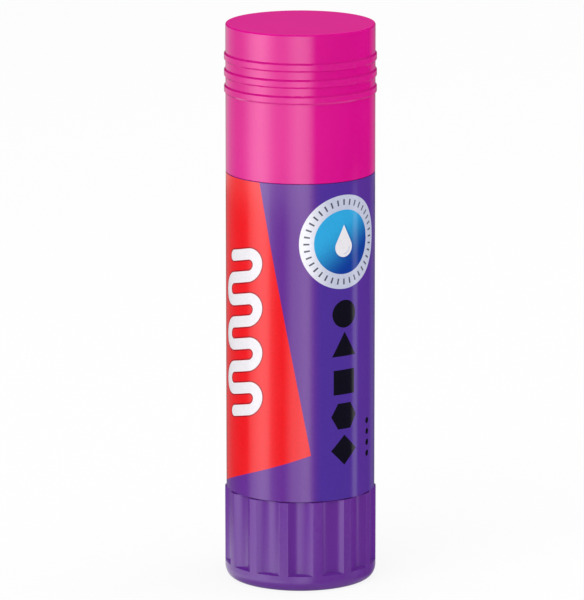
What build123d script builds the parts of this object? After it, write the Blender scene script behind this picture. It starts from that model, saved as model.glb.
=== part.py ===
from build123d import *
import os

# Twist-up glue stick, in millimetres, +Z up.
# The origin is the middle of the knob's flat underside.

# Glue, bore and neck, from the axis outwards
GLUE_RADIUS = 10.7
GLUE_GAP = 0.2  # glue to the barrel's bore
NECK_WALL = 0.95
GRIP_BEAD = 0.15  # bead at the foot of the neck that the cap rubs on
BEAD_LIFT = 0.6  # shoulder to the bead
BEAD_HEIGHT = 1.2
BEAD_RAMP = 0.3  # slope at each end of the bead
CAP_GAP = 0.05  # bead to the cap's bore
CAP_WALL = 0.95
LABEL_THICKNESS = 0.06
BORE_RADIUS = GLUE_RADIUS + GLUE_GAP
NECK_RADIUS = BORE_RADIUS + NECK_WALL
BEAD_RADIUS = NECK_RADIUS + GRIP_BEAD
CAP_BORE = BEAD_RADIUS + CAP_GAP
CAP_RADIUS = CAP_BORE + CAP_WALL
BODY_RADIUS = CAP_RADIUS - LABEL_THICKNESS  # the label lies flush with the cap

# Heights of the three parts that show
KNOB_HEIGHT = 16.05
KNOB_GAP = 0.1  # knob to the barrel's lower edge
BODY_HEIGHT = 56.25
CAP_SEAT_GAP = 0.05  # shoulder to the cap's rim
CAP_HEIGHT = 25.95
BODY_LOW = KNOB_HEIGHT + KNOB_GAP
SHOULDER = BODY_LOW + BODY_HEIGHT
CAP_RIM = SHOULDER + CAP_SEAT_GAP
CAP_TOP = CAP_RIM + CAP_HEIGHT

# Cap
CAP_ROOF = 1.2
CAP_EDGE = 0.3  # rounding of the top edge
RIM_EDGE = 0.08
RING_COUNT = 3
RING_DEPTH = 4.95  # cap's top to the first ring
RING_PITCH = 2.83
RING_CREST = 0.95
RING_FLANK = 0.3
RING_PROUD = 0.25
RING_EDGE = 0.1
MOUTH_GAP = 4.2  # neck's mouth to the inside of the roof
SEAL_ENTRY = 0.8  # how far the seal ring reaches into the mouth
SEAL_WALL = 0.7
SEAL_GAP = 0.15
CAP_INSIDE = CAP_TOP - CAP_ROOF
MOUTH = CAP_INSIDE - MOUTH_GAP
SEAL_LOW = MOUTH - SEAL_ENTRY
SEAL_RADIUS = BORE_RADIUS - SEAL_GAP

# Knob
KNOB_PROUD = 0.25  # knob beyond the label
KNOB_WALL = 1.0  # behind a flute
KNOB_FLOOR = 1.5
FOOT_ROUND = 1.2  # rounding of the lower edge, inwards
FOOT_RISE = 2.0  # and upwards
FLUTE_COUNT = 14
FLUTE_DEPTH = 0.78
FLUTE_CURVE = 4.2  # radius of the scoop
FLUTE_LOW = 2.8
FLUTE_SLOPE = 0.3  # rise of the sloped lower end
RIB_EDGE = 0.25  # rounding of the ribs between the flutes
RIB_TOP_EDGE = 0.15
KNOB_RADIUS = CAP_RADIUS + KNOB_PROUD
FLUTE_FLOOR = KNOB_RADIUS - FLUTE_DEPTH
KNOB_BORE = FLUTE_FLOOR - KNOB_WALL

# Barrel's lower end, which runs inside the knob
SKIRT_GAP = 0.1
SKIRT_WALL = 1.1
SKIRT_LENGTH = 4.2
FLOOR_THICKNESS = 1.45
END_PLAY = 0.1  # hub and flange to the floor between them
SKIRT_RADIUS = KNOB_BORE - SKIRT_GAP
SKIRT_LOW = BODY_LOW - SKIRT_LENGTH
FLOOR_TOP = BODY_LOW + FLOOR_THICKNESS
HUB_TOP = BODY_LOW - END_PLAY

# Rails in the bore, which stop the carrier and the glue from turning
RAIL_COUNT = 2
RAIL_WIDTH = 1.2
RAIL_HEIGHT = 0.8
RAIL_GAP = 0.2
RAIL_SEAL_GAP = 0.4  # top of a rail to the seal ring
RAIL_TOP = SEAL_LOW - RAIL_SEAL_GAP

# Spindle and its thread
CORE_RADIUS = 2.6
CREST_RADIUS = 3.8
ROOT_WIDTH = 1.7
CREST_WIDTH = 1.1
LEAD = 5.0
THREAD_GAP = 0.15
ROOT_SINK = 0.4  # thread's root inside the core
JOURNAL_RADIUS = 3.3
JOURNAL_GAP = 0.08
FLANGE_LIP = 2.7  # flange beyond the journal
FLANGE_THICKNESS = 1.2
TAIL_STEP = 0.3  # journal beyond the splines
TAIL_LENGTH = 9.0
SPLINE_COUNT = 6
SPLINE_HEIGHT = 0.5
SPLINE_WIDTH = 1.0
PRESS = 0.02  # interference of the tail in its socket
SOCKET_SPARE = 0.3
TIP_PLAIN = 0.6  # end of the spindle above its thread
TIP_EDGE = 0.5
FLANGE_LOW = FLOOR_TOP + END_PLAY
FLANGE_TOP = FLANGE_LOW + FLANGE_THICKNESS
SPLINE_CREST = JOURNAL_RADIUS - TAIL_STEP
TAIL_RADIUS = SPLINE_CREST - SPLINE_HEIGHT
TAIL_LOW = HUB_TOP - TAIL_LENGTH

# Hub and webs of the knob
HUB_WALL = 2.0
WEB_COUNT = 6
WEB_WIDTH = 0.9
WEB_GAP = 0.5  # webs to the barrel's skirt
HUB_RADIUS = SPLINE_CREST + HUB_WALL
WEB_TOP = SKIRT_LOW - WEB_GAP

# Carrier
CARRIER_LIFT = 0.3  # carrier's rest above the flange
CARRIER_GAP = 0.15
CUP_HEIGHT = 8.0
CUP_FLOOR = 1.2
CUP_WALL = 1.5
LIP_HEIGHT = 0.9
LIP_PROUD = 0.2
NUT_HEIGHT = 6.0
NUT_WALL = 1.3
CARRIER_LOW = FLANGE_TOP + CARRIER_LIFT
CARRIER_RADIUS = BORE_RADIUS - CARRIER_GAP
NUT_RADIUS = CREST_RADIUS + THREAD_GAP + NUT_WALL
NUT_TOP = CARRIER_LOW + NUT_HEIGHT

# Glue column and the travel that it leaves
GLUE_SETBACK = 1.5  # tip below the mouth
GLUE_CROWN = 5.8  # tip above the end of the spindle
CAST_GAP = 0.03  # glue to the cup that it is cast in
SPINDLE_GAP = 0.2
TIP_SPARE = 0.3
TIP_ROUND = 0.4
THREAD_SPARE = 0.5  # spindle left above the nut when it is fully up
GLUE_TOP = MOUTH - GLUE_SETBACK
SPINDLE_TOP = GLUE_TOP - GLUE_CROWN
TRAVEL = SPINDLE_TOP - THREAD_SPARE - NUT_HEIGHT - CARRIER_LOW

# Label
LABEL_MARGIN = 0.05
SEAM_WIDTH = 5.0
SEAM_TURN = 90  # degrees from +X, at the back

CUT = 1.0  # how far a cutting shape runs past what it cuts


def disc(radius, low, high):
    """A solid cylinder on the axis."""
    return Pos(0, 0, low) * Cylinder(radius, high - low, align=(Align.CENTER, Align.CENTER, Align.MIN))


def ring(outer, inner, low, high):
    """A plain ring on the axis."""
    return disc(outer, low, high) - disc(inner, low - CUT, high + CUT)


def bar(near, far, width, low, high):
    """A rectangular bar that points along +X, between two distances from the axis."""
    block = Box(far - near, width, high - low, align=(Align.MIN, Align.CENTER, Align.MIN))
    return Pos(near, 0, low) * block


def around(shape, count):
    """Copies of a shape, evenly spaced about the axis."""
    return [Rot(0, 0, 360 * index / count) * shape for index in range(count)]


def turned(*curves):
    """A closed outline of lines and arcs, given as radius and height, turned about the axis."""
    return revolve(make_face(Plane.XZ * (Curve() + list(curves))), Axis.Z)


def ridge(core, crest, root_width, crest_width, low, high):
    """One left-hand thread ridge, sunk a little into its core. Every ridge passes azimuth 0 at
    the flange's top and then once in each lead, so the spindle and the nut are in mesh."""
    slope = (root_width - crest_width) / 2 / (crest - core)
    half_foot = root_width / 2 + ROOT_SINK * slope
    section = Polyline(
        (core - ROOT_SINK, -half_foot),
        (crest, -crest_width / 2),
        (crest, crest_width / 2),
        (core - ROOT_SINK, half_foot),
        close=True,
    )
    path = Helix(LEAD, high - low, core, lefthand=True)
    shape = sweep(make_face(Plane.XZ * section), path=path, is_frenet=True)
    start = 360 * (FLANGE_TOP - low) / LEAD
    return Pos(0, 0, low) * Rot(0, 0, start) * shape


def splined(radius, crest, width, low, high):
    """A round bar with square splines along it."""
    spline = bar(0, crest, width, low, high)
    return disc(radius, low, high) + around(spline, SPLINE_COUNT)


def make_cap():
    """Cap: a drawn cup with grip rings outside and a seal ring under its roof."""
    shell = disc(CAP_RADIUS, CAP_RIM, CAP_TOP)
    top_edge = shell.edges().sort_by(Axis.Z)[-1]
    shell = fillet(top_edge, CAP_EDGE)
    grip = []
    for index in range(RING_COUNT):
        high = CAP_TOP - RING_DEPTH - index * RING_PITCH
        grip.append(grip_ring(high))
    shell = shell + grip
    shell -= disc(CAP_BORE, CAP_RIM - CUT, CAP_INSIDE)
    rim_edges = shell.edges().group_by(Axis.Z)[0]
    shell = chamfer(rim_edges, RIM_EDGE)
    return shell + ring(SEAL_RADIUS, SEAL_RADIUS - SEAL_WALL, SEAL_LOW, CAP_INSIDE + CAP_ROOF / 2)


def grip_ring(high):
    """One raised ring: a flat crest between two sloped flanks, with its corners eased."""
    low = high - RING_CREST - 2 * RING_FLANK
    crest = CAP_RADIUS + RING_PROUD
    inside = CAP_RADIUS - CAP_WALL / 2
    outline = Polyline(
        (inside, low),
        (CAP_RADIUS, low),
        (crest, low + RING_FLANK),
        (crest, high - RING_FLANK),
        (CAP_RADIUS, high),
        (inside, high),
        close=True,
    )
    face = make_face(Plane.XZ * outline)
    corners = face.vertices().group_by(Axis.X)[-1]
    return revolve(fillet(corners, RING_EDGE), Axis.Z)


def make_tube():
    """Barrel: body, neck and bore, a floor with the spindle's bearing, and a skirt in the knob."""
    body = disc(BODY_RADIUS, BODY_LOW, SHOULDER)
    body += disc(NECK_RADIUS, SHOULDER - CUT, MOUTH)
    body += grip_bead()
    body += disc(SKIRT_RADIUS, SKIRT_LOW, BODY_LOW + FLOOR_THICKNESS / 2)
    body -= disc(BORE_RADIUS, FLOOR_TOP, MOUTH + CUT)
    body -= disc(SKIRT_RADIUS - SKIRT_WALL, SKIRT_LOW - CUT, BODY_LOW)
    body -= disc(JOURNAL_RADIUS + JOURNAL_GAP, SKIRT_LOW, FLOOR_TOP + CUT)
    inner = BORE_RADIUS - RAIL_HEIGHT
    rail = bar(inner, BORE_RADIUS + NECK_WALL / 2, RAIL_WIDTH, FLOOR_TOP - FLOOR_THICKNESS / 2, RAIL_TOP)
    return body + around(rail, RAIL_COUNT)


def grip_bead():
    """The low bead round the foot of the neck."""
    low = SHOULDER + BEAD_LIFT
    high = low + BEAD_HEIGHT
    inside = BORE_RADIUS + NECK_WALL / 2
    outline = Polyline(
        (inside, low),
        (NECK_RADIUS, low),
        (BEAD_RADIUS, low + BEAD_RAMP),
        (BEAD_RADIUS, high - BEAD_RAMP),
        (NECK_RADIUS, high),
        (inside, high),
        close=True,
    )
    return turned(outline)


def make_label():
    """Label: a film round the barrel whose ends overlap at the back."""
    low = BODY_LOW + LABEL_MARGIN
    high = SHOULDER - LABEL_MARGIN
    film = ring(CAP_RADIUS, BODY_RADIUS, low, high)
    lap = ring(CAP_RADIUS + LABEL_THICKNESS, BODY_RADIUS + LABEL_THICKNESS / 2, low, high)
    strip = Rot(0, 0, SEAM_TURN) * bar(BODY_RADIUS / 2, CAP_RADIUS + CUT, SEAM_WIDTH, low, high)
    return film + (lap & strip)


def make_knob():
    """Knob: a fluted cup with a rounded foot, and a hub that the spindle's tail is pressed into.
    A flute faces the front, -Y."""
    knob = Rot(0, 0, 180 / FLUTE_COUNT) * (knob_foot() + fluted_wall())
    knob -= disc(KNOB_BORE, KNOB_FLOOR, KNOB_HEIGHT + CUT)
    knob += disc(HUB_RADIUS, KNOB_FLOOR / 2, HUB_TOP)
    web_near = HUB_RADIUS - HUB_WALL / 2
    web_far = KNOB_BORE + KNOB_WALL / 2
    knob += around(bar(web_near, web_far, WEB_WIDTH, KNOB_FLOOR / 2, WEB_TOP), WEB_COUNT)
    socket = splined(
        TAIL_RADIUS - PRESS,
        SPLINE_CREST - PRESS,
        SPLINE_WIDTH - 2 * PRESS,
        TAIL_LOW - SOCKET_SPARE,
        HUB_TOP + CUT,
    )
    return knob - socket


def knob_foot():
    """The plain band under the flutes, with its rounded lower edge and the slope that each
    flute ends on."""
    foot = EllipticalCenterArc(
        (KNOB_RADIUS - FOOT_ROUND, FOOT_RISE),
        FOOT_ROUND,
        FOOT_RISE,
        start_angle=270,
        arc_size=90,
    )
    sides = Polyline(
        (KNOB_RADIUS, FOOT_RISE),
        (KNOB_RADIUS, FLUTE_LOW),
        (FLUTE_FLOOR - FLUTE_DEPTH, FLUTE_LOW + 2 * FLUTE_SLOPE),
        (0, FLUTE_LOW + 2 * FLUTE_SLOPE),
        (0, 0),
        (KNOB_RADIUS - FOOT_ROUND, 0),
    )
    return turned(foot, sides)


def fluted_wall():
    """The wall with its scoops and rounded ribs, from the foot to the knob's top."""
    scoop = Pos(FLUTE_FLOOR + FLUTE_CURVE, 0) * Circle(FLUTE_CURVE)
    section = Circle(KNOB_RADIUS) - around(scoop, FLUTE_COUNT)
    section = fillet(section.vertices(), RIB_EDGE)
    wall = Pos(0, 0, FLUTE_LOW) * extrude(section, KNOB_HEIGHT - FLUTE_LOW)
    return fillet(wall.edges().group_by(Axis.Z)[-1], RIB_TOP_EDGE)


def make_spindle():
    """Spindle: splined tail, journal in the floor's hole, flange and threaded rod."""
    rod = splined(TAIL_RADIUS, SPLINE_CREST, SPLINE_WIDTH, TAIL_LOW, HUB_TOP + END_PLAY)
    rod += disc(JOURNAL_RADIUS, HUB_TOP, FLANGE_TOP)
    rod += disc(JOURNAL_RADIUS + FLANGE_LIP, FLANGE_LOW, FLANGE_TOP)
    core = disc(CORE_RADIUS, FLANGE_LOW, SPINDLE_TOP)
    core = chamfer(core.edges().sort_by(Axis.Z)[-1], TIP_EDGE)
    thread_top = SPINDLE_TOP - TIP_PLAIN - ROOT_WIDTH / 2
    return rod + core + ridge(CORE_RADIUS, CREST_RADIUS, ROOT_WIDTH, CREST_WIDTH, FLANGE_TOP, thread_top)


def make_carrier():
    """Carrier: a cup with two wiper lips and a threaded hub, notched for the rails."""
    low = CARRIER_LOW
    high = low + CUP_HEIGHT
    wall = CARRIER_RADIUS - LIP_PROUD
    cup = disc(wall, low, high)
    cup += disc(CARRIER_RADIUS, low, low + LIP_HEIGHT)
    cup += disc(CARRIER_RADIUS, high - LIP_HEIGHT, high)
    cup -= disc(CARRIER_RADIUS - CUP_WALL, low + CUP_FLOOR, high + CUT)
    cup += disc(NUT_RADIUS, low, NUT_TOP)
    cup -= rail_room(low - CUT, high + CUT)
    tap = disc(CORE_RADIUS + THREAD_GAP, low - LEAD, NUT_TOP + LEAD)
    tap += ridge(
        CORE_RADIUS + THREAD_GAP,
        CREST_RADIUS + THREAD_GAP,
        ROOT_WIDTH + 2 * THREAD_GAP,
        CREST_WIDTH + 2 * THREAD_GAP,
        low - LEAD / 2,
        NUT_TOP + LEAD / 2,
    )
    return cup - tap


def rail_room(low, high):
    """What the rails take from a piece that slides along them."""
    inner = BORE_RADIUS - RAIL_HEIGHT - RAIL_GAP
    return around(bar(inner, BORE_RADIUS + CUT, RAIL_WIDTH + 2 * RAIL_GAP, low, high), RAIL_COUNT)


def make_glue():
    """Glue: a column cast into the cup, bored for the spindle, with a solid crown."""
    low = CARRIER_LOW + CUP_FLOOR
    cup_top = CARRIER_LOW + CUP_HEIGHT
    column = disc(GLUE_RADIUS, cup_top, GLUE_TOP)
    column = fillet(column.edges().sort_by(Axis.Z)[-1], TIP_ROUND)
    column -= rail_room(cup_top - CUT, GLUE_TOP + CUT)
    column += disc(CARRIER_RADIUS - CUP_WALL - CAST_GAP, low, cup_top + CUT)
    column -= disc(NUT_RADIUS + CAST_GAP, low - CUT, NUT_TOP + CAST_GAP)
    return column - disc(CREST_RADIUS + SPINDLE_GAP, low - CUT, SPINDLE_TOP + TIP_SPARE)


PIECES = {
    "cap": make_cap,
    "tube": make_tube,
    "label": make_label,
    "knob": make_knob,
    "spindle": make_spindle,
    "carrier": make_carrier,
    "glue": make_glue,
}

os.makedirs("parts", exist_ok=True)
for name, make in PIECES.items():
    export_step(make(), f"parts/{name}.step")
print(f"height {CAP_TOP:.2f} mm, travel {TRAVEL:.2f} mm in {TRAVEL / LEAD:.2f} turns")
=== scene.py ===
import math

import bpy
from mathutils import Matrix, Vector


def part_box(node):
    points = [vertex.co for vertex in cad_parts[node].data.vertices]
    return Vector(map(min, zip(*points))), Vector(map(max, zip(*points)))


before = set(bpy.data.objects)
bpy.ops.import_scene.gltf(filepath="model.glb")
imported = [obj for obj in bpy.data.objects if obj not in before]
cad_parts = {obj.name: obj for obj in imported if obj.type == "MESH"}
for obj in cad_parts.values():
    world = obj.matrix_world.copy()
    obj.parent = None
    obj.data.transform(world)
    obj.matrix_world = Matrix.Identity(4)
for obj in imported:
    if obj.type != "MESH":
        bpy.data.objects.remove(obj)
bpy.ops.object.select_all(action="DESELECT")
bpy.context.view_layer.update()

# Barrel tube: one injection moulding in glossy violet polypropylene, thinner at the neck that the
# cap slides on. The label covers its body, so what shows is the gap at the knob and, uncapped,
# the neck with its grip bead. The pigment clouds faintly along the stick, as the melt flowed.
MM = 0.001
VIOLET = (0.132, 0.024, 0.292)
TUBE_GLOSS = 0.2
PLASTIC_IOR = 1.49


def calc(tree, operation, *values):
    """A Math node. A number is set on its socket and a socket is linked to it."""
    node = tree.nodes.new("ShaderNodeMath")
    node.operation = operation
    for socket, value in zip(node.inputs, values):
        if isinstance(value, (int, float)):
            socket.default_value = value
        else:
            tree.links.new(value, socket)
    return node.outputs[0]


def stick_coordinates(tree):
    """The point's place in the stick's own frame, in metres."""
    return tree.nodes.new("ShaderNodeTexCoord").outputs["Object"]


def axes(tree, coordinates):
    """The X, Y and Z of a place, in millimetres."""
    split = tree.nodes.new("ShaderNodeSeparateXYZ")
    tree.links.new(coordinates, split.inputs[0])
    return [calc(tree, "DIVIDE", axis, MM) for axis in split.outputs]


def length(tree, a, b):
    """The length of a flat vector."""
    squares = calc(tree, "MULTIPLY_ADD", a, a, calc(tree, "MULTIPLY", b, b))
    return calc(tree, "SQRT", squares)


def cloud(tree, coordinates, size, stretch=1.0, detail=2.0):
    """Soft noise from 0 to 1 with blotches of that size in millimetres, drawn out along the stick."""
    mapping = tree.nodes.new("ShaderNodeMapping")
    mapping.inputs["Scale"].default_value = (1.0, 1.0, 1.0 / stretch)
    tree.links.new(coordinates, mapping.inputs["Vector"])
    node = tree.nodes.new("ShaderNodeTexNoise")
    node.inputs["Scale"].default_value = 1.0 / (size * MM)
    node.inputs["Detail"].default_value = detail
    tree.links.new(mapping.outputs[0], node.inputs["Vector"])
    return node.outputs["Fac"]


def spread(tree, value, low, high, start=0.3, end=0.7):
    """Takes a value that runs from start to end to one from low to high, with soft ends. A start
    of 0.3 and an end of 0.7 hold most of a soft noise."""
    node = tree.nodes.new("ShaderNodeMapRange")
    node.interpolation_type = "SMOOTHSTEP"
    node.inputs["From Min"].default_value = start
    node.inputs["From Max"].default_value = end
    node.inputs["To Min"].default_value = low
    node.inputs["To Max"].default_value = high
    tree.links.new(value, node.inputs["Value"])
    return node.outputs["Result"]


def tint(tree, share, first, second):
    """Goes from one colour to another by a share. Each is a plain colour or a socket."""
    node = tree.nodes.new("ShaderNodeMix")
    node.data_type = "RGBA"
    tree.links.new(share, node.inputs[0])
    for socket, colour in ((node.inputs[6], first), (node.inputs[7], second)):
        if isinstance(colour, tuple):
            socket.default_value = (*colour, 1.0)
        else:
            tree.links.new(colour, socket)
    return node.outputs[2]


def relief(tree, height, depth):
    """A Bump node for a relief of that depth in millimetres."""
    node = tree.nodes.new("ShaderNodeBump")
    node.inputs["Distance"].default_value = depth * MM
    tree.links.new(height, node.inputs["Height"])
    return node.outputs["Normal"]


def new_finish(name):
    """A new material, its node tree and its shader."""
    material = bpy.data.materials.new(name)
    material.use_nodes = True
    return material, material.node_tree, material.node_tree.nodes["Principled BSDF"]


# The moulded skin: faint clouds of pigment, handling haze and orange peel. Sizes and depths are in
# millimetres. The haze takes a little from the roughness in places and adds a little in others.
PIGMENT_SIZE = 5.0
PIGMENT_STRETCH = 4.0
PIGMENT_CHANGE = 0.03
HAZE_SIZE = 12.0
HAZE_POLISH = 0.015
HAZE_DULLING = 0.025
HAZE_NOISE = (0.2, 0.8)
PEEL_SIZE = 1.4
PEEL_DEPTH = 0.004


def moulded(name, colour, gloss):
    """Moulded plastic: pigment clouded along the flow, the slight orange peel of a polished
    mould, and handling haze."""
    material, tree, shader = new_finish(name)
    coordinates = stick_coordinates(tree)
    flow = cloud(tree, coordinates, PIGMENT_SIZE, PIGMENT_STRETCH)
    deep = tuple(part * (1.0 - PIGMENT_CHANGE) for part in colour)
    pale = tuple(min(1.0, part * (1.0 + PIGMENT_CHANGE)) for part in colour)
    paint = tint(tree, spread(tree, flow, 0.0, 1.0), deep, pale)
    haze = cloud(tree, coordinates, HAZE_SIZE)
    dull = spread(tree, haze, gloss - HAZE_POLISH, gloss + HAZE_DULLING, *HAZE_NOISE)
    peel = cloud(tree, coordinates, PEEL_SIZE, detail=3.0)
    tree.links.new(paint, shader.inputs["Base Color"])
    tree.links.new(dull, shader.inputs["Roughness"])
    tree.links.new(relief(tree, peel, PEEL_DEPTH), shader.inputs["Normal"])
    shader.inputs["IOR"].default_value = PLASTIC_IOR
    return material


def dress(node_name, material):
    """Gives a piece of the stick its finish."""
    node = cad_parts[node_name]
    node.data.materials.clear()
    node.data.materials.append(material)


dress("tube", moulded("violet_barrel_plastic", VIOLET, TUBE_GLOSS))

# Label: a printed and laminated film wrapped round the barrel, its ends lapped at the back.
# The print is a violet ground, a slanted red panel, a white bead of glue laid to and fro, a column
# of black paper shapes, and a silver badge with a glue drop. The ground's turn to blue on the right
# is painted light: a tint of the lighting, violet where the light and sheen fall from the front left.
film_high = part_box("label")[1]
LABEL_RADIUS = film_high.x / MM
PRINT_EDGE = 0.03
LABEL_VIOLET = (0.138, 0.030, 0.300)
BLUE_VIOLET = (0.078, 0.031, 0.325)
PANEL_RED = (0.88, 0.011, 0.017)
PANEL_SHADE = (0.42, 0.006, 0.012)
PRINT_WHITE = (0.86, 0.84, 0.88)
PRINT_BLACK = (0.006, 0.005, 0.012)

label_finish, tree, shader = new_finish("printed_label_film")
coordinates = stick_coordinates(tree)
x, y, z = axes(tree, coordinates)
azimuth = calc(tree, "ARCTAN2", x, calc(tree, "MULTIPLY", y, -1.0))
across = calc(tree, "MULTIPLY", azimuth, LABEL_RADIUS)


def printed(distance):
    """1 inside a printed shape and 0 outside, from the distance to its outline."""
    return spread(tree, distance, 1.0, 0.0, -PRINT_EDGE, PRINT_EDGE)


def less(a, b):
    """One value less another."""
    return calc(tree, "SUBTRACT", a, b)


def negative(value):
    """A value with its sign turned."""
    return calc(tree, "MULTIPLY", value, -1.0)


def inside_all(*distances):
    """The distance to a shape that lies inside each of some others."""
    most = distances[0]
    for distance in distances[1:]:
        most = calc(tree, "MAXIMUM", most, distance)
    return most


def from_place(place):
    """How far right of a place on the label and how far above it, in millimetres."""
    return less(across, place[0]), less(z, place[1])


# The ground, its tint painted light: violet for a half width each side of its middle line, where the
# light and sheen fall from the front left, bluer beyond, and a little less blue again past the
# return.
TONE_MIDDLE = -10.65
TONE_HALF = 13.35
TONE_SOFTNESS = 1.3
TONE_RETURN = (8.0, 12.0)
TONE_KEPT = 0.65
from_tone = calc(tree, "ABSOLUTE", less(across, TONE_MIDDLE))
bluer = spread(tree, from_tone, 0.0, 1.0, TONE_HALF - TONE_SOFTNESS, TONE_HALF + TONE_SOFTNESS)
bluer = calc(tree, "MULTIPLY", bluer, spread(tree, across, 1.0, TONE_KEPT, *TONE_RETURN))
artwork = tint(tree, bluer, LABEL_VIOLET, BLUE_VIOLET)

# The red panel: two slanted sides, alike about its middle line, and a foot that falls to the left.
PANEL_CORNER = (1.84, 24.5)
PANEL_MIDDLE = -17.0
PANEL_LEAN = 0.194
PANEL_FALL = 0.345
side, above = from_place(PANEL_CORNER)
leaning = calc(tree, "MULTIPLY", above, PANEL_LEAN)
right_side = calc(tree, "ADD", leaning, side)
left_side = less(less(leaning, side), 2 * (PANEL_CORNER[0] - PANEL_MIDDLE))
foot_side = less(calc(tree, "MULTIPLY", side, PANEL_FALL), above)
panel = printed(inside_all(right_side, left_side, foot_side))
artwork = tint(tree, panel, artwork, PANEL_RED)

# The bead of glue: slanted strokes, joined by half turns at alternate ends.
BEAD_PLACE = (-12.0, 31.4)
BEAD_STROKES = 8
BEAD_PITCH = 3.95
BEAD_REACH = 2.1
BEAD_HALF = 0.98
BEAD_SLANT = 0.22
BEAD_SHADOW = 0.25
u, v = from_place(BEAD_PLACE)
v = less(v, calc(tree, "MULTIPLY", u, BEAD_SLANT))
above_last = less(v, (BEAD_STROKES - 1) * BEAD_PITCH)
stroke = calc(tree, "PINGPONG", v, BEAD_PITCH / 2)


def half_turns(beyond, first):
    """The distance to the turns past one end of the strokes, the first of them at that height."""
    from_middle = calc(tree, "PINGPONG", less(v, first), BEAD_PITCH)
    return calc(tree, "ABSOLUTE", less(length(tree, beyond, from_middle), BEAD_PITCH / 2))


def where(test, yes, no):
    """One of two values, by a test that is 1 or 0."""
    chosen = calc(tree, "MULTIPLY", test, less(yes, no))
    return calc(tree, "ADD", chosen, no)


past_right = less(u, BEAD_REACH)
past_left = less(negative(u), BEAD_REACH)
from_last = calc(tree, "ABSOLUTE", above_last)
from_end = calc(tree, "MINIMUM", calc(tree, "ABSOLUTE", v), from_last)
at_end = calc(tree, "LESS_THAN", from_end, BEAD_PITCH / 2)
left_turns = where(at_end, length(tree, past_left, from_end), half_turns(past_left, 1.5 * BEAD_PITCH))
right_turns = half_turns(past_right, 0.5 * BEAD_PITCH)
bead = where(calc(tree, "GREATER_THAN", past_right, 0.0), right_turns, stroke)
bead = where(calc(tree, "GREATER_THAN", past_left, 0.0), left_turns, bead)
bead = inside_all(bead, negative(v), above_last)
artwork = tint(tree, printed(less(bead, BEAD_HALF + BEAD_SHADOW)), artwork, PANEL_SHADE)
artwork = tint(tree, printed(less(bead, BEAD_HALF)), artwork, PRINT_WHITE)

# The paper shapes: a diamond, a hexagon, a square, a triangle and a disc from the foot up, and
# a row of four small dots beside them. Each shape is its sides, its turn and its size.
SHAPE_LINE = 8.15
SHAPE_LOW = 25.0
SHAPE_PITCH = 6.05
SHAPES = ((4, 45.0, 1.9), (6, 90.0, 2.3), (4, 0.0, 2.2), (3, 270.0, 1.45))
DISC_HALF = 2.45
DOT_PLACE = (14.3, 23.3)
DOT_COUNT = 4
DOT_PITCH = 1.95
DOT_HALF = 0.55


def straight_sided(a, b, sides, start, reach):
    """The distance to a regular shape whose sides lie that far from its middle."""
    edges = []
    for index in range(sides):
        turn = math.radians(start + 360.0 * index / sides)
        upward = calc(tree, "MULTIPLY", b, math.sin(turn))
        edges.append(less(calc(tree, "MULTIPLY_ADD", a, math.cos(turn), upward), reach))
    return inside_all(*edges)


paper = []
for index, (sides, start, reach) in enumerate(SHAPES):
    a, b = from_place((SHAPE_LINE, SHAPE_LOW + index * SHAPE_PITCH))
    paper.append(straight_sided(a, b, sides, start, reach))
a, b = from_place((SHAPE_LINE, SHAPE_LOW + len(SHAPES) * SHAPE_PITCH))
paper.append(less(length(tree, a, b), DISC_HALF))
a, b = from_place(DOT_PLACE)
past_dots = less(b, (DOT_COUNT - 1) * DOT_PITCH)
b = inside_all(calc(tree, "PINGPONG", b, DOT_PITCH / 2), negative(b), past_dots)
paper.append(less(length(tree, a, b), DOT_HALF))
for distance in paper:
    artwork = tint(tree, printed(distance), artwork, PRINT_BLACK)

# The badge: a silver ring with plain ticks, brightest at its left, round a disc that runs from
# sky blue to deep blue. The shares are of the ring's radius and of the disc's.
BADGE = (8.0, 61.9)
BADGE_HALF = 8.25
BRIGHT_END_SHARE = -0.2
DISC_RADIUS = 5.65
BLUE_LEAN = 0.75
BLUE_SHARES = (-0.75, 0.95)
TICK_COUNT = 36
TICK_RADIUS = 6.98
TICK_LENGTH = 1.05
TICK_WIDTH = 0.3
SILVER = (0.56, 0.59, 0.74)
BRIGHT_SILVER = (0.90, 0.90, 0.96)
TICK_GREY = (0.085, 0.088, 0.13)
SKY_BLUE = (0.030, 0.40, 0.76)
DEEP_BLUE = (0.005, 0.045, 0.33)
a, b = from_place(BADGE)
outward = length(tree, a, b)
shine = spread(tree, a, 0.0, 1.0, -BADGE_HALF, BRIGHT_END_SHARE * BADGE_HALF)
silver = tint(tree, shine, BRIGHT_SILVER, SILVER)
artwork = tint(tree, printed(less(outward, BADGE_HALF)), artwork, silver)
tick_turn = calc(tree, "MULTIPLY", calc(tree, "ARCTAN2", a, b), TICK_COUNT / math.tau)
tick_pitch = math.tau * TICK_RADIUS / TICK_COUNT
tick_side = calc(tree, "MULTIPLY", calc(tree, "PINGPONG", tick_turn, 0.5), tick_pitch)
tick_end = calc(tree, "ABSOLUTE", less(outward, TICK_RADIUS))
tick = inside_all(less(tick_side, TICK_WIDTH / 2), less(tick_end, TICK_LENGTH / 2))
artwork = tint(tree, printed(tick), artwork, TICK_GREY)
downhill = less(calc(tree, "MULTIPLY", a, BLUE_LEAN), b)
deeper = spread(tree, downhill, 0.0, 1.0, *(share * DISC_RADIUS for share in BLUE_SHARES))
blue = tint(tree, deeper, SKY_BLUE, DEEP_BLUE)
artwork = tint(tree, printed(less(outward, DISC_RADIUS)), artwork, blue)

# The drop of glue on the badge: a ball and the cone that touches it, over a soft shadow, with a
# grey crescent low in the ball.
DROP_MIDDLE = (8.0, 61.0)
DROP_RADIUS = 1.75
DROP_TIP = 3.9
SHADOW_PLACE = (8.3, 60.7)
SHADOW_STRENGTH = 0.75
SHADOW_EDGE = 0.5
CRESCENT_INSIDE = 1.05
CRESCENT_OUTSIDE = 1.35
CRESCENT_STRENGTH = 0.6


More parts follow.
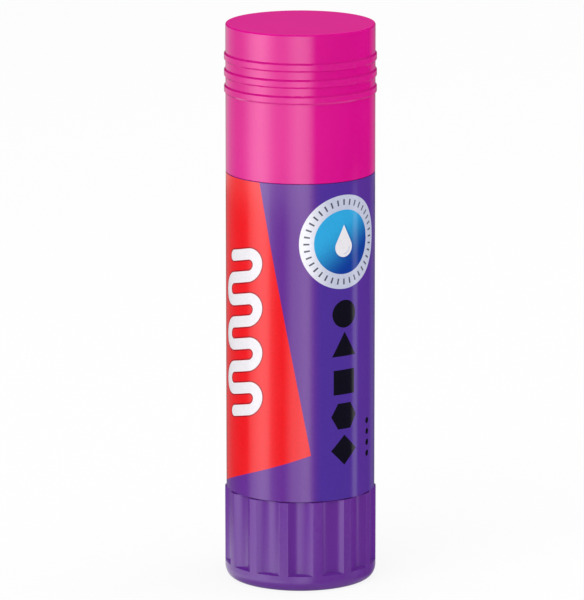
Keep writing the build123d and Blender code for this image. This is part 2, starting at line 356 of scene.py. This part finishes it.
def drop(middle):
    """The distance to a drop of glue with its tip up."""
    a, b = from_place(middle)
    taper = DROP_RADIUS / DROP_TIP
    ball = less(length(tree, a, b), DROP_RADIUS)
    sideways = calc(tree, "MULTIPLY", calc(tree, "ABSOLUTE", a), math.sqrt(1.0 - taper * taper))
    cone = less(calc(tree, "MULTIPLY_ADD", b, taper, sideways), DROP_RADIUS)
    above_touch = less(DROP_RADIUS * taper, b)
    return calc(tree, "MINIMUM", ball, inside_all(cone, above_touch))


shadow = spread(tree, drop(SHADOW_PLACE), SHADOW_STRENGTH, 0.0, -SHADOW_EDGE, SHADOW_EDGE)
artwork = tint(tree, shadow, artwork, DEEP_BLUE)
artwork = tint(tree, printed(drop(DROP_MIDDLE)), artwork, PRINT_WHITE)
a, b = from_place(DROP_MIDDLE)
from_ball = length(tree, a, b)
ring = inside_all(less(from_ball, CRESCENT_OUTSIDE), less(CRESCENT_INSIDE, from_ball))
crescent = printed(inside_all(ring, b, negative(a)))
artwork = tint(tree, calc(tree, "MULTIPLY", crescent, CRESCENT_STRENGTH), artwork, SILVER)

# The film over the print: fine printing grain, a slack that bends the gloss a little, and rub
# marks that dull it.
GRAIN_SIZE = 0.45
GRAIN_STRENGTH = 0.05
GRAIN_NOISE = (0.35, 0.65)
SLACK_SIZE = 7.0
SLACK_STRETCH = 1.6
SLACK_DEPTH = 0.012
MARK_SIZE = 6.0
FILM_GLOSS = (0.10, 0.14)
grain = spread(tree, cloud(tree, coordinates, GRAIN_SIZE), 0.0, GRAIN_STRENGTH, *GRAIN_NOISE)
slack = cloud(tree, coordinates, SLACK_SIZE, SLACK_STRETCH, detail=1.0)
marks = cloud(tree, coordinates, MARK_SIZE, detail=4.0)
tree.links.new(tint(tree, grain, artwork, PRINT_BLACK), shader.inputs["Base Color"])
tree.links.new(spread(tree, marks, *FILM_GLOSS), shader.inputs["Roughness"])
tree.links.new(relief(tree, slack, SLACK_DEPTH), shader.inputs["Normal"])
shader.inputs["IOR"].default_value = PLASTIC_IOR
dress("label", label_finish)

# Knob: a fluted cup moulded in the barrel's violet, with a plain rounded foot that the stick
# stands on. Fingers rub the crests of its ribs a little dull, and their upward ledges get a
# painted shade.
knob_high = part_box("knob")[1]
KNOB_GLOSS = 0.2
KNOB_CREST = knob_high.x / MM

# The rubbing and the painted shade on the ledges: how far in from the crest each begins and
# is full, how strong it is, and the colour that it leaves, as some white and a share of the
# plastic's own.
RUB_BEGINS = 0.12
RUB_SIZE = 0.7
RUB_LEAST = 0.2
RUB_PALENESS = 0.12
RUB_DULLING = 0.05
RUBBED_WHITE = 0.05
RUBBED_COLOUR = 0.9
PAINTED_SHADE_BEGINS = 0.24
PAINTED_SHADE_FULL = 0.18
PAINTED_SHADE_STRENGTH = 0.22
PAINTED_SHADE_FACING = (0.3, 0.6)
PAINTED_SHADE_WHITE = 0.01
PAINTED_SHADE_COLOUR = 0.3


def so_far(socket):
    """What a socket takes so far."""
    return socket.links[0].from_socket


def wear_and_shade(material, colour, crest):
    """Near the crest radius fingers have rubbed the plastic paler and duller, and the upward
    ledges are painted darker, a painted shade in the creases."""
    tree = material.node_tree
    shader = tree.nodes["Principled BSDF"]
    coordinates = stick_coordinates(tree)
    x, y = axes(tree, coordinates)[:2]
    from_axis = length(tree, x, y)
    on_crest = spread(tree, from_axis, 0.0, 1.0, crest - RUB_BEGINS, crest)
    patches = spread(tree, cloud(tree, coordinates, RUB_SIZE, detail=4.0), RUB_LEAST, 1.0)
    rubbing = calc(tree, "MULTIPLY", on_crest, patches)
    paling = calc(tree, "MULTIPLY", rubbing, RUB_PALENESS)
    rubbed = tuple(RUBBED_WHITE + RUBBED_COLOUR * part for part in colour)
    paint = tint(tree, paling, so_far(shader.inputs["Base Color"]), rubbed)
    dull = calc(tree, "MULTIPLY_ADD", rubbing, RUB_DULLING, so_far(shader.inputs["Roughness"]))
    # Painted shade: near the crest, faces turned upwards are darkened in the colour, standing for the
    # shade in the creases at the rib ledges and grip rings.
    facing = tree.nodes.new("ShaderNodeSeparateXYZ")
    tree.links.new(tree.nodes.new("ShaderNodeNewGeometry").outputs["Normal"], facing.inputs[0])
    ledge = spread(tree, facing.outputs[2], 0.0, PAINTED_SHADE_STRENGTH, *PAINTED_SHADE_FACING)
    near_crest = spread(tree, from_axis, 0.0, 1.0, crest - PAINTED_SHADE_BEGINS, crest - PAINTED_SHADE_FULL)
    painted_shade = calc(tree, "MULTIPLY", ledge, near_crest)
    shade_colour = tuple(PAINTED_SHADE_WHITE + PAINTED_SHADE_COLOUR * part for part in colour)
    tree.links.new(tint(tree, painted_shade, paint, shade_colour), shader.inputs["Base Color"])
    tree.links.new(dull, shader.inputs["Roughness"])


knob_finish = moulded("violet_knob_plastic", VIOLET, KNOB_GLOSS)
wear_and_shade(knob_finish, VIOLET, KNOB_CREST)
dress("knob", knob_finish)

# Spindle and carrier: unpigmented polypropylene straight from the mould, milky and slightly
# clear, the left-hand screw and the cup that climbs it with the glue.
NATURAL = (0.80, 0.80, 0.76)
NATURAL_GLOSS = 0.36
NATURAL_CLEARNESS = 0.35
NATURAL_DEPTHS = (1.2, 1.0, 0.8)


def soak(material, clearness, depths):
    """Lets light into a milky mass, as deep as that in millimetres for red, green and blue."""
    shader = material.node_tree.nodes["Principled BSDF"]
    shader.inputs["Subsurface Weight"].default_value = clearness
    shader.inputs["Subsurface Radius"].default_value = tuple(depth * MM for depth in depths)
    shader.inputs["Subsurface Scale"].default_value = 1.0


natural = moulded("natural_white_plastic", NATURAL, NATURAL_GLOSS)
soak(natural, NATURAL_CLEARNESS, NATURAL_DEPTHS)
dress("spindle", natural)
dress("carrier", natural)

# Glue: a firm, slightly clear white mass cast into the carrier's cup. Its skin is waxy and
# faintly pitted, and it is duller and yellower where it has dried.
GLUE_WHITE = (0.86, 0.85, 0.80)
GLUE_DRY = (0.78, 0.75, 0.66)
GLUE_GLOSS = (0.34, 0.52)
GLUE_IOR = 1.45
GLUE_CLEARNESS = 0.5
GLUE_DEPTHS = (2.0, 1.6, 1.2)
DRY_SIZE = 4.0
DRY_STRETCH = 2.0
DRY_STRENGTH = 0.35
DRY_NOISE = (0.2, 0.8)
PIT_SIZE = 0.8
PIT_DEPTH = 0.03
PIT_NOISE = (0.25, 0.5)
glue_finish, tree, shader = new_finish("waxy_glue")
coordinates = stick_coordinates(tree)
dry = cloud(tree, coordinates, DRY_SIZE, DRY_STRETCH, detail=4.0)
drying = spread(tree, dry, 0.0, DRY_STRENGTH, *DRY_NOISE)
pits = spread(tree, cloud(tree, coordinates, PIT_SIZE, detail=4.0), 0.0, 1.0, *PIT_NOISE)
tree.links.new(tint(tree, drying, GLUE_WHITE, GLUE_DRY), shader.inputs["Base Color"])
tree.links.new(spread(tree, dry, *GLUE_GLOSS), shader.inputs["Roughness"])
tree.links.new(relief(tree, pits, PIT_DEPTH), shader.inputs["Normal"])
soak(glue_finish, GLUE_CLEARNESS, GLUE_DEPTHS)
shader.inputs["IOR"].default_value = GLUE_IOR
dress("glue", glue_finish)

# Cap: a thin cup moulded in glossy magenta polypropylene, with a matt flat top whose colour is
# painted a little paler as painted light, and three raised grip rings that fingers have rubbed a
# little dull, with painted shade on their upward ledges. It slides over the neck, almost down to
# the shoulder.
cap_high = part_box("cap")[1]
MAGENTA = (0.70, 0.0035, 0.264)
CAP_GLOSS = 0.10
CAP_CREST = cap_high.x / MM
CAP_ROOF = cap_high.z / MM
MATT_RISE = 0.1
TOP_PAINTED_LIGHT = 1.1
MATT_DULLING = 0.45
SPARK_SIZE = 0.22


def matt_and_lifted_top(material, colour, top):
    """Towards the height of its top a moulding turns to the fine matt texture of a spark-eroded
    mould, and its colour is painted a little paler there: painted light that brightens the flat top."""
    tree = material.node_tree
    shader = tree.nodes["Principled BSDF"]
    height = so_far(shader.inputs["Normal"]).node.inputs["Height"]
    coordinates = stick_coordinates(tree)
    z = axes(tree, coordinates)[2]
    matt = spread(tree, z, 0.0, 1.0, top - MATT_RISE, top)
    # Painted light: the colour towards the top is raised a tenth, so that the flat top reads
    # brighter.
    lifted_top_colour = tuple(min(1.0, part * TOP_PAINTED_LIGHT) for part in colour)
    paint = tint(tree, matt, so_far(shader.inputs["Base Color"]), lifted_top_colour)
    dull = calc(tree, "MULTIPLY_ADD", matt, MATT_DULLING, so_far(shader.inputs["Roughness"]))
    sparks = cloud(tree, coordinates, SPARK_SIZE, detail=3.0)
    tree.links.new(paint, shader.inputs["Base Color"])
    tree.links.new(dull, shader.inputs["Roughness"])
    tree.links.new(calc(tree, "MULTIPLY_ADD", matt, sparks, so_far(height)), height)


cap_finish = moulded("magenta_cap_plastic", MAGENTA, CAP_GLOSS)
# This also paints shade on the upward ledges of the grip rings.
wear_and_shade(cap_finish, MAGENTA, CAP_CREST)
matt_and_lifted_top(cap_finish, MAGENTA, CAP_ROOF)
dress("cap", cap_finish)

# Studio floor: a pale sheet of white card that keeps the stick's soft shadow. What the camera and
# glass see of it is lifted towards plain white. Gloss and metal look past it to the light tent.
FLOOR_SIZE = 8.0
FLOOR_WHITE = 0.9
FLOOR_ROUGHNESS = 0.9
FLOOR_LIFT = 0.85


def background_rays(tree):
    """1 for the rays that should see a plain white background."""
    rays = tree.nodes.new("ShaderNodeLightPath").outputs
    seen = calc(tree, "MAXIMUM", rays["Is Camera Ray"], rays["Is Glossy Ray"])
    return calc(tree, "MAXIMUM", seen, rays["Is Transmission Ray"])


bpy.ops.mesh.primitive_plane_add(size=FLOOR_SIZE)
floor = bpy.context.object
floor.name = "studio_floor"
floor_finish, tree, shader = new_finish("pale_card")
shader.inputs["Base Color"].default_value = (FLOOR_WHITE, FLOOR_WHITE, FLOOR_WHITE, 1.0)
shader.inputs["Roughness"].default_value = FLOOR_ROUGHNESS
shader.inputs["Specular IOR Level"].default_value = 0.0
glow = tree.nodes.new("ShaderNodeEmission")
lift = tree.nodes.new("ShaderNodeMixShader")
tree.links.new(calc(tree, "MULTIPLY", background_rays(tree), FLOOR_LIFT), lift.inputs[0])
tree.links.new(shader.outputs[0], lift.inputs[1])
tree.links.new(glow.outputs[0], lift.inputs[2])
tree.links.new(lift.outputs[0], tree.nodes["Material Output"].inputs["Surface"])
floor.data.materials.append(floor_finish)
floor.visible_glossy = False

# Sky of the studio: even soft light, seen as plain white.
SKY_LIGHT = 0.70
world = bpy.data.worlds.new("studio")
bpy.context.scene.world = world
world.use_nodes = True
tree = world.node_tree
sky = tree.nodes["Background"]
sky.inputs["Color"].default_value = (1.0, 1.0, 1.0, 1.0)
strength = calc(tree, "MULTIPLY_ADD", background_rays(tree), 1.0 - SKY_LIGHT, SKY_LIGHT)
tree.links.new(strength, sky.inputs["Strength"])

# Light tent: tall graded strips of light round the stick, which show only in its gloss. Seen from
# the front at rest, its upper storey shows in the cap, its middle one in the label and its lower
# one in the knob.
TENT_RADIUS = 0.2
TENT_HEIGHT = 0.7
TENT_SIDES = 96
TENT_PEAK = 3.8
TENT_TOP = 0.01
TENT_BELOW = 0.5

# The heights over the floor in millimetres, below it where negative, between which one storey gives
# way to the next. Each row is a direction in degrees, from the front to the right, and how bright
# the tent is there in its upper, middle and lower storey.
UPPER_RISE = (29.0, 34.0)
LOWER_FALL = (-48.0, -38.0)
ROOF_RISE = (78.0, 105.0)
CELLAR_FALL = (-140.0, -80.0)
TENT_BANDS = (
    (-180, 0.25, 0.05, 0.8),
    (-150, 0.62, 0.27, 1.0),
    (-112, 0.50, 0.06, 1.5),
    (-98, 0.75, 0.01, 1.8),
    (-88, 1.4, 0.1, 2.0),
    (-80, 2.4, 1.1, 2.3),
    (-70, 3.4, 1.9, 2.4),
    (-60, 3.8, 2.5, 2.6),
    (-51, 3.1, 2.2, 2.4),
    (-44, 2.2, 0.7, 2.2),
    (-36, 1.5, 0.2, 2.3),
    (-26, 1.35, 0.01, 1.9),
    (-20, 1.6, 0.5, 1.2),
    (-13, 2.2, 1.4, 1.3),
    (-3, 2.9, 1.8, 1.8),
    (5, 2.7, 2.3, 2.1),
    (12, 2.1, 2.2, 1.7),
    (18, 0.9, 0.6, 0.5),
    (23, 0.1, 0.01, 0.03),
    (60, 0.02, 0.01, 0.03),
    (84, 0.0, 0.01, 0.3),
    (88, 0.0, 1.2, 0.3),
    (94, 0.0, 1.2, 0.1),
    (98, 0.0, 0.01, 0.02),
    (128, 0.02, 0.01, 0.02),
    (142, 0.18, 0.18, 0.1),
    (180, 0.25, 0.05, 0.8),
)
bpy.ops.mesh.primitive_cylinder_add(vertices=TENT_SIDES, radius=TENT_RADIUS, depth=TENT_HEIGHT)
tent = bpy.context.object
tent.name = "light_tent"
tent_finish, tree, shader = new_finish("tent_strips")
tree.nodes.remove(shader)
x, y, z = axes(tree, stick_coordinates(tree))
direction = calc(tree, "ARCTAN2", x, calc(tree, "MULTIPLY", y, -1.0))


def storey(column):
    """The strips of one storey, as shares of the tent's peak."""
    ramp = tree.nodes.new("ShaderNodeValToRGB")
    tree.links.new(calc(tree, "MULTIPLY_ADD", direction, 1.0 / math.tau, 0.5), ramp.inputs[0])
    stops = ramp.color_ramp.elements
    while len(stops) < len(TENT_BANDS):
        stops.new(0.5)
    for stop, row in zip(stops, TENT_BANDS):
        share = row[column] / TENT_PEAK
        stop.position = row[0] / 360.0 + 0.5
        stop.color = (share, share, share, 1.0)
    return ramp.outputs["Color"]


upper = spread(tree, z, 0.0, 1.0, *UPPER_RISE)
lower = spread(tree, z, 1.0, 0.0, *LOWER_FALL)
overhead = spread(tree, z, 0.0, 1.0, *ROOF_RISE)
below = spread(tree, z, 1.0, 0.0, *CELLAR_FALL)
strips = tint(tree, upper, storey(2), storey(1))
strips = tint(tree, lower, strips, storey(3))
strips = tint(tree, overhead, strips, (TENT_TOP / TENT_PEAK,) * 3)
strips = tint(tree, below, strips, (TENT_BELOW / TENT_PEAK,) * 3)
emission = tree.nodes.new("ShaderNodeEmission")
emission.inputs["Strength"].default_value = TENT_PEAK
tree.links.new(strips, emission.inputs["Color"])
tree.links.new(emission.outputs[0], tree.nodes["Material Output"].inputs["Surface"])
tent_finish.cycles.emission_sampling = "NONE"
tent.data.materials.append(tent_finish)
tent.visible_camera = False
tent.visible_diffuse = False
tent.visible_transmission = False
tent.visible_volume_scatter = False
tent.visible_shadow = False

# Lamps: a large soft key from the front left, a fill from the right and a weak one overhead. Each
# row is the name, direction and elevation in degrees, distance and width in metres, and power in
# watts.
LAMPS = (
    ("key_lamp", -38.0, 40.0, 1.2, 0.9, 5.2),
    ("fill_lamp", 110.0, 20.0, 1.2, 1.0, 4.9),
    ("top_lamp", 0.0, 90.0, 1.2, 1.0, 2.0),
)
for name, direction, elevation, distance, width, power in LAMPS:
    turn = math.radians(direction)
    rise = math.radians(elevation)
    outward = distance * math.cos(rise)
    place = (outward * math.sin(turn), -outward * math.cos(turn), distance * math.sin(rise))
    tilt = math.radians(90.0) - rise
    bpy.ops.object.light_add(type="AREA", location=place, rotation=(tilt, 0.0, turn))
    lamp = bpy.context.object
    lamp.name = name
    lamp.data.size = width
    lamp.data.energy = power
    lamp.visible_camera = False
    lamp.visible_glossy = False

# Camera: a long lens from the front and a little above, as the photograph was taken.
CAMERA_PLACE = (0.0, -0.92643, 0.25407)
CAMERA_TILT = 77.536
CAMERA_LENS = 325.9
CAMERA_SHIFT = -0.01405
SENSOR_WIDTH = 36.0
bpy.ops.object.camera_add(location=CAMERA_PLACE, rotation=(math.radians(CAMERA_TILT), 0.0, 0.0))
camera = bpy.context.object
camera.data.sensor_width = SENSOR_WIDTH
camera.data.lens = CAMERA_LENS
camera.data.shift_x = CAMERA_SHIFT
bpy.context.scene.camera = camera
bpy.context.scene.view_settings.view_transform = "Standard"
